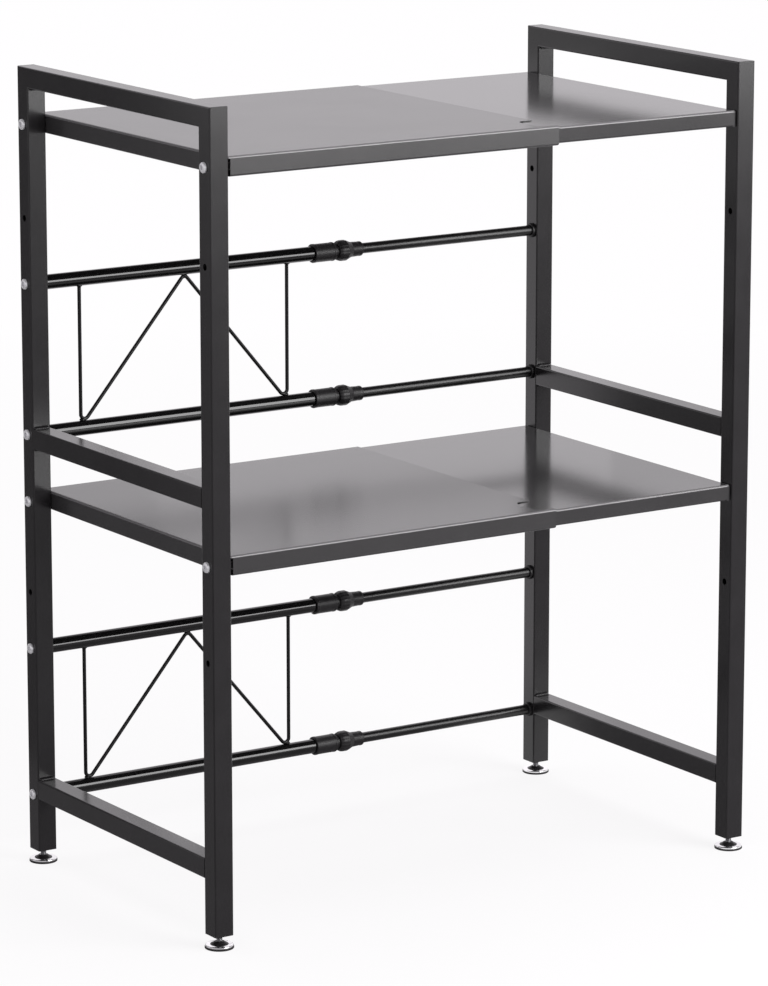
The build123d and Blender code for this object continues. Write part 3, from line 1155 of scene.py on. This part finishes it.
@dataclass
class Foot:
    """A levelling foot: a threaded stud under an upright, and a chromed pad with a rubber sole."""

    side: Side
    end: End
    segments: int = 96
    sole_height: float = 0.0020
    sole_edge: float = 0.0005
    cap_inset: float = 0.0005
    cap_rim: float = 0.0016
    cap_rounding: float = 0.0011
    cap_height: float = 0.0038
    hub_radius: float = 0.0088
    hub_rim: float = 0.0003
    hub_step: tuple[float, float] = (0.0004, 0.0014)
    hub_top_radius: float = 0.0045
    hub_roundings: tuple[float, ...] = (0, 0, 0.0001, 0.0004, 0.002, 0.0004, 0.0002, 0, 0)
    edge: float = 0.0001
    edge_steps: int = 5
    cap_steps: int = 8
    stud_fit: float = 0.00005
    point: float = 0.0007
    thread: Thread = Thread()

    @property
    def name(self) -> str:
        """The foot's name, which its nodes start with."""
        return f"{self.side.value}_{self.end.value}_foot"

    def stud(self) -> None:
        """Makes the threaded stud."""
        node = f"{self.name}_stud"
        stud = Round.measure(node, 2)
        rows = self.thread.rows(0, stud.length)
        radii = np.minimum(stud.radius, stud.radius - self.point + stud.length - rows)
        outline = np.stack([rows, radii], axis=1)
        grid = capped(turned(outline, stud.line, self.segments // 2, self.thread.cut))
        made = Shell(f"{node}_threaded").add(grid)
        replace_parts(made.piece(Finish.STUD_ZINC, node, Slot.BOLT), node)

    def pad(self) -> None:
        """Makes the pad: a chromed cap over a rubber sole, and a moulded hub round the stud."""
        node = f"{self.name}_pad"
        pad, stud = Round.measure(node, 2), Round.measure(f"{self.name}_stud", 2)
        bore, seat = stud.radius + self.stud_fit, (stud.line.start - pad.line.start)[2]
        sole_top, cap_top, hub = self.sole_height, self.cap_height, self.hub_radius
        cap_radius, hub_top = pad.radius - self.cap_inset, cap_top + self.hub_rim
        step_up, step_in = self.hub_step
        sole = [(0, 0), (0, pad.radius), (sole_top, pad.radius), (sole_top, 0)]
        cap = [
            (sole_top - EMBED, 0),
            (sole_top - EMBED, cap_radius),
            (sole_top + self.cap_rim, cap_radius),
            (cap_top, hub),
            (cap_top, 0),
        ]
        grip = [
            (seat, 0),
            (cap_top - EMBED, 0),
            (cap_top - EMBED, hub),
            (hub_top, hub),
            (hub_top + step_up, hub - step_in),
            (pad.length, self.hub_top_radius),
            (pad.length, bore),
            (seat, bore),
            (seat, 0),
        ]
        cap_roundings, steps = (0, self.edge, self.cap_rounding, self.edge, 0), self.edge_steps
        layers = (
            ("sole", sole, self.sole_edge, steps, Finish.RUBBER, Slot.PLASTIC),
            ("cap", cap, cap_roundings, self.cap_steps, Finish.CHROME, Slot.PAD),
            ("hub", grip, self.hub_roundings, steps, Finish.PLASTIC, Slot.PLASTIC),
        )
        for layer, corners, radii, arc_steps, finish, slot in layers:
            outline = rounded(corners, radii, arc_steps, closed=False)
            shell = Shell(f"{node}_{layer}").add(turned(outline, pad.line, self.segments))
            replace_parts(shell.piece(finish, node, slot), node)

    def build(self) -> None:
        """Makes the stud and the pad, and dresses the plug."""
        dress(f"{self.name}_plug", Finish.PLASTIC)
        self.stud()
        self.pad()


def tray_bolt_places(side: Side) -> list[tuple[float, float]]:
    """Works out where the bolts that hold the trays to one end frame are.

    Args:
        side: The end frame's side.

    Returns:
        The Y and Z of each of the four bolts.
    """
    depths = [centre(f"{side.value}_{end.value}_upright")[1] for end in End]
    heights = [centre(f"{board}_left_tray")[2] for board in BOARD_NAMES]
    return [(y, z) for y in depths for z in heights]


@dataclass
class Bolts:
    """Button-head bolts with hexagon sockets through the outer faces of an end frame."""

    side: Side
    segments: int = 72
    shank_radius: float = 0.003
    tip_taper: float = 0.0008
    head_height: float = 0.003
    head_radius: float = 0.0052
    head_edge: float = 0.0003
    rim: float = 0.0009
    flat_radius: float = 0.0027
    dome_steps: int = 12
    socket_apothem: float = 0.002
    socket_depth: float = 0.0019
    socket_mouth: float = 1.2
    socket_floor: float = 0.9
    floor_edge: float = 0.0001
    floor_dip: float = 0.0004
    threaded_length: float = 0.012
    thread_runout: float = 0.0004
    bolt_length: float = 0.030
    thread: Thread = Thread()

    def bolt(self, line: Line) -> Array:
        """Works out one bolt along a line that points out of the frame.

        The head's edge rises to its flat top as a quarter of an ellipse. In the socket's rows the
        radius is the apothem times the hexagon's own radius at that angle.

        Args:
            line: The bolt's axis, from under its head.

        Returns:
            A grid of points from the bolt's tip to the bottom of the socket.
        """
        shank, head, flat = self.shank_radius, self.head_radius, self.flat_radius
        edge, top, apothem = self.head_edge, self.head_height, self.socket_apothem
        tip, floor = -self.bolt_length, top - self.socket_depth
        rows = self.thread.rows(tip, tip + self.threaded_length)
        taper = np.minimum(shank, shank - self.tip_taper + (rows - tip))
        lift = np.linspace(0, math.pi / 2, self.dome_steps)
        dome = [self.rim + (top - self.rim) * np.sin(lift), flat + (head - flat) * np.cos(lift)]
        outline = np.concatenate([
            [(tip, 0)],
            np.stack([rows, taper], axis=1),
            [(tip + self.threaded_length + self.thread_runout, shank), (0, shank)],
            [(0, head - edge), (edge, head)],
            np.stack(dome, axis=1),
            [(top, apothem * self.socket_mouth), (top - edge, apothem)],
            [(floor + self.floor_edge, apothem), (floor, apothem * self.socket_floor)],
            [(floor - self.floor_dip, 0)],
        ])
        row = np.arange(len(outline))[:, None]
        threaded = (row >= 1) & (row <= len(rows))
        six_sided = (row >= len(outline) - 4) & (row < len(outline) - 1)

        def shaped(along: Array, angle: Array, radius: Array) -> Array:
            """Cuts the thread and makes the socket six-sided."""
            cut = np.where(threaded, self.thread.cut(along, angle, radius), radius)
            return np.where(six_sided, radius * hexagon(angle), cut)

        return turned(outline, line, self.segments, shaped)

    def build(self) -> None:
        """Makes the bolts of the trays and those of the bars, as two pieces."""
        side = self.side
        face = node_box(f"{side.value}_front_upright")[0 if side is Side.LEFT else 1][0]
        rear = centre(f"{side.value}_rear_upright")[1]
        places = {
            "tray_bolts": tray_bolt_places(side),
            "bar_bolts": [(rear, centre(f"{bar}_outer_tube")[2]) for bar in BAR_NAMES],
        }
        for kind, spots in places.items():
            node = f"{side.value}_{kind}"
            shell = Shell(f"{node}_plated")
            for y, z in spots:
                shell.add(self.bolt(Line(np.array([face, y, z]), side.sign * X_AXIS, Z_AXIS)))
            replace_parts(shell.piece(Finish.ZINC, side.body, Slot.BOLT), node)


@dataclass
class TrayNuts:
    """The hexagon nuts welded behind the trays' end flanges, and coated with them."""

    side: Side
    segments: int = 72
    apothem: float = 0.005
    bore: float = 0.00305
    chamfer_slope: float = 0.577
    chamfer_start: float = 0.0047
    chamfer_reach: float = 0.0012
    chamfer_steps: int = 9

    def nut(self, line: Line, height: float) -> Array:
        """Works out one nut: the lesser of the hexagon's radius and that of a cone at each face.

        Args:
            line: The nut's axis, from its seat.
            height: The nut's height.

        Returns:
            A grid of points round the nut and back through its bore.
        """
        rows = np.linspace(0, self.chamfer_reach, self.chamfer_steps)
        rows = np.concatenate([rows, rows + height - self.chamfer_reach])
        outer = np.stack([rows, np.full(len(rows), self.apothem)], axis=1)
        inner = [(height, self.bore), (height / 2, self.bore), (0, self.bore)]

        def six_sided(along: Array, angle: Array, radius: Array) -> Array:
            """Makes the outer rows six-sided, with chamfered corners.

            Args:
                along: The distances along the nut.
                angle: The angles round it.
                radius: The round nut's radii.

            Returns:
                The six-sided nut's radii.
            """
            depth = np.minimum(along, height - along)
            cone = self.chamfer_start + depth / self.chamfer_slope
            sides = np.minimum(self.apothem * hexagon(angle), cone)
            return np.where(radius > self.bore, sides, radius)

        return turned(np.concatenate([outer, inner]), line, self.segments, six_sided)

    def build(self) -> None:
        """Makes the side's four nuts as one piece."""
        side = self.side
        node = f"{side.value}_tray_nuts"
        low, high = node_box(node)
        seat = low[0] if side is Side.LEFT else high[0]
        shell = Shell(f"{node}_plated")
        for y, z in tray_bolt_places(side):
            line = Line(np.array([seat, y, z]), -side.sign * X_AXIS, Z_AXIS)
            shell.add(self.nut(line, high[0] - low[0]), ring=True)
        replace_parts(shell.piece(TRAY_COATS[side], side.body, Slot.BOLT), node)


@dataclass(frozen=True)
class Felt:
    """A flat sheet that shows only in the shelf's reflections: its corners and its brightness."""

    name: str
    corners: list[Colour]
    grey: float


@dataclass(frozen=True)
class SoftBox:
    """A soft box: its middle, the point that it faces, its width and height, and its power."""

    name: str
    place: Colour
    aim: Colour
    size: tuple[float, float]
    watts: float
    glossy: bool = True


SOFT_BOXES = (
    SoftBox("front_soft_box", (1.00, -1.95, 1.25), (0.0, 0.0, 0.4), (1.6, 1.5), 55.0),
    SoftBox("overhead_fill", (0.0, 0.3, 3.0), (0.0, 0.0, 0.0), (3.0, 3.0), 45.0, glossy=False),
)
LOW, HIGH = 0.0005, 0.0010  # the felts on the floor lie one over the other
REAR_FELT = [(0.4, -0.1, LOW), (-3, 5.2, LOW), (-5.4, 3.6, LOW), (-2, -1.6, LOW)]
FRONT_FELT = [(-4, -4.5, HIGH), (-0.5, -4.5, HIGH), (-0.5, 0, HIGH), (-4, 0, HIGH)]
FRONT_PAPER = [(-0.5, -4.5, LOW), (4, -4.5, LOW), (4, -0.2, LOW), (-0.5, -0.2, LOW)]
SIDE_FELT = [(-0.4, 0.5, 0), (-0.68, 0.5, 0), (-0.68, 0.5, 1), (-0.4, 0.5, 1)]
REAR_CARD = [(0, 0.45, 0), (0.6, 0.45, 0), (0.6, 0.45, 0.72), (0, 0.45, 0.72)]
FELTS = (
    Felt("rear_felt", REAR_FELT, 0.3),
    Felt("front_felt", FRONT_FELT, 0.3),
    Felt("front_paper", FRONT_PAPER, 0.48),
    Felt("side_felt", SIDE_FELT, 0.17),
    Felt("rear_card", REAR_CARD, 1.15),
)


@dataclass
class Studio:
    """A pale floor and a white surround, soft boxes, and the dark ceiling and felt that black
    enamel is photographed under."""

    floor_half: float = 30.0
    floor_colour: Colour = (0.86, 0.86, 0.86)
    floor_glow: Colour = (1.0, 0.992, 1.0)
    floor_white: float = 0.86
    floor_sheen: float = 0.72
    white_from: float = 0.8
    white_to: float = 3.0
    surround: Colour = (1.0, 0.965, 1.0)
    fill: float = 0.5
    ceiling: float = 0.03
    sweep_top: float = 0.46
    ceiling_start: float = 0.67

    @staticmethod
    def rays(graph: Graph) -> list[Socket]:
        """Returns what is 1 for camera, glossy and transmission rays, and 0 for the others."""
        kinds = ("Camera", "Glossy", "Transmission")
        return [graph.add("ShaderNodeLightPath", output=f"Is {kind} Ray") for kind in kinds]

    @staticmethod
    def share(value: Socket, start: float, end: float) -> Socket:
        """Returns how far a value has gone from the start to the end, from 0 to 1."""
        return ((value - start) * (1 / (end - start))).clamped()

    def world(self) -> None:
        """Makes a surround that looks white, lights the shelf with a soft fill, and is dark
        overhead in reflections."""
        world = bpy.data.worlds.new("studio_surround")
        bpy.context.scene.world = world
        graph = Graph(world)
        height = graph.upward(graph.add("ShaderNodeTexCoord", output="Generated"))
        reach = self.share(height, self.sweep_top, self.ceiling_start)
        sweep = 1 - reach * (1 - self.ceiling)
        camera, glossy, clear = self.rays(graph)
        seen = camera.at_least(clear)
        strength = seen.at_least(glossy * sweep).at_least((1 - seen.at_least(glossy)) * self.fill)
        inputs = {"Color": (*self.surround, 1.0), "Strength": strength}
        graph.end(graph.add("ShaderNodeBackground", inputs=inputs), "World")

    def floor(self) -> None:
        """Makes the floor, which looks white far off and keeps the shelf's shadow near it."""
        half = self.floor_half
        corners = [(-half, -half, 0), (half, -half, 0), (half, half, 0), (-half, half, 0)]
        material, graph = new_material("studio_floor")
        settings, inputs = {"operation": "LENGTH"}, {0: graph.place()}
        distance = graph.add("ShaderNodeVectorMath", settings, inputs, "Value")
        far = self.share(distance, self.white_from, self.white_to)
        white = self.floor_white + far * (1 - self.floor_white)
        camera, glossy, clear = self.rays(graph)
        share = camera.at_least(clear) * white + glossy * self.floor_sheen
        paper = graph.add("ShaderNodeBsdfDiffuse", inputs={"Color": (*self.floor_colour, 1.0)})
        inputs = {0: share, 1: paper, 2: graph.emission(self.floor_glow, 1.0)}
        graph.end(graph.add("ShaderNodeMixShader", inputs=inputs))
        self.sheet("studio_floor", corners, material)

    def sheet(
        self, name: str, corners: list[Colour], material: bpy.types.Material
    ) -> bpy.types.Object:
        """Makes a flat sheet of the studio.

        Args:
            name: The sheet's name.
            corners: Its four corners.
            material: Its material.

        Returns:
            The new object.
        """
        mesh = bpy.data.meshes.new(name)
        mesh.from_pydata(corners, [], [(0, 1, 2, 3)])
        mesh.materials.append(material)
        made = placed(name, mesh)
        return made

    def lamp(self, box: SoftBox) -> None:
        """Adds a soft box, which the camera doesn't see.

        Args:
            box: The soft box's sizes.
        """
        light = bpy.data.lights.new(box.name, "AREA")
        light.shape = "RECTANGLE"
        light.size, light.size_y = box.size
        light.energy = box.watts
        made = placed(box.name, light)
        made.location = box.place
        aim = Vector(box.aim) - Vector(box.place)
        made.rotation_euler = aim.to_track_quat("-Z", "Y").to_euler()
        made.visible_camera, made.visible_glossy = False, box.glossy

    def lay(self, felt: Felt) -> None:
        """Adds a felt, which only glossy rays see.

        Args:
            felt: The felt's corners and brightness.
        """
        material, graph = new_material(felt.name)
        graph.end(graph.emission(self.surround, felt.grey))
        made = self.sheet(felt.name, felt.corners, material)
        made.visible_camera = made.visible_diffuse = made.visible_shadow = False
        made.visible_transmission = False

    def build(self) -> None:
        """Makes the surround, the floor, the lamps and the felts."""
        self.world()
        self.floor()
        for box in SOFT_BOXES:
            self.lamp(box)
        for felt in FELTS:
            self.lay(felt)
        log.info("made the studio")


@dataclass
class PhotoCamera:
    """The photograph's camera: its place, its heading from +Y towards +X and its dip."""

    place: Colour = (-2.5285, -3.8607, 1.3830)
    heading: float = 0.5791
    dip: float = 0.2156
    focal_pixels: float = 4767.0
    sensor: float = 36.0
    view_depth: float = 100.0

    def build(self) -> None:
        """Makes the camera, whose lens is the focal length in pixels over the photo's height."""
        data = bpy.data.cameras.new("photo_camera")
        data.sensor_fit = "AUTO"
        data.sensor_width = self.sensor
        data.lens = self.focal_pixels * self.sensor / PHOTO_HEIGHT
        data.clip_end = self.view_depth
        made = placed("photo_camera", data)
        made.location = self.place
        level, fall = math.cos(self.dip), -math.sin(self.dip)
        forward = Vector((math.sin(self.heading) * level, math.cos(self.heading) * level, fall))
        made.rotation_euler = forward.to_track_quat("-Z", "Y").to_euler()
        bpy.context.scene.camera = made
        log.info("made the camera")


def main() -> None:
    """Builds the shelf's sub-assemblies in order, then the studio and the camera."""
    logging.basicConfig(level=logging.INFO, format="%(message)s")
    parts = [
        *[EndFrame(side) for side in Side],
        *[Board(name) for name in BOARD_NAMES],
        *[BackBar(name) for name in BAR_NAMES],
        EndRings(),
        WireGuard("lower_wire_guard", "bottom_bar", "third_bar"),
        WireGuard("upper_wire_guard", "second_bar", "top_bar"),
        *[Foot(side, end) for side in Side for end in End],
        *[Bolts(side) for side in Side],
        *[TrayNuts(side) for side in Side],
    ]
    for part in parts:
        part.build()
    for node in ("outer_tube_inserts", "inner_rod_inserts"):
        dress(node, Finish.ZINC)
    Studio().build()
    PhotoCamera().build()
    bpy.context.scene.view_settings.view_transform = "Standard"


if __name__ == "__main__":
    main()
